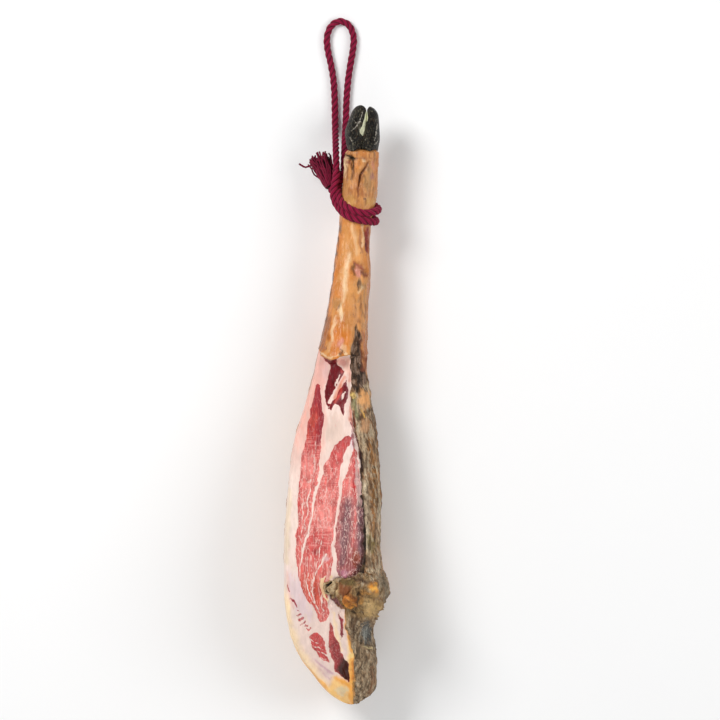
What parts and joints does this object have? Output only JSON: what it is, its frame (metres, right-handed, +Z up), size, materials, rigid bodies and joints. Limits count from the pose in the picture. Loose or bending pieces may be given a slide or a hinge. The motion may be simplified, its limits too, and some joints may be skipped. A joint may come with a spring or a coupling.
{
  "type": "cured ham",
  "caption": "Whole dry-cured ham on the bone with a carved face, dried crust, hip bone end, cloven hoof and a hanging rope tied round the shank.",
  "frame": {"origin": "on the surface that the ham lies on, under the middle of the ham without its rope loop and tassel", "axes": "+Y from the tip towards the hoof, +X towards the dried crust side, +Z up out of the carved face"},
  "size_m": [0.1478, 0.9684, 0.1839],
  "materials": {
    "ham": "cured meat and white fat on the carved face, golden rind on the shank, dry brown-grey crust elsewhere, slightly oily",
    "bone": "dried bone end with brown tissue",
    "horn": "black glossy horn with fine streaks",
    "rope": "burgundy laid rope of three strands, soft and matt"
  },
  "bodies": {
    "root": {"ham_body": "ham", "hip_bone": "bone", "hoof_toe_left": "horn", "hoof_toe_right": "horn", "rope_hitch": "rope", "rope_loop": "rope", "rope_tassel": "rope"}
  },
  "joints": []
}
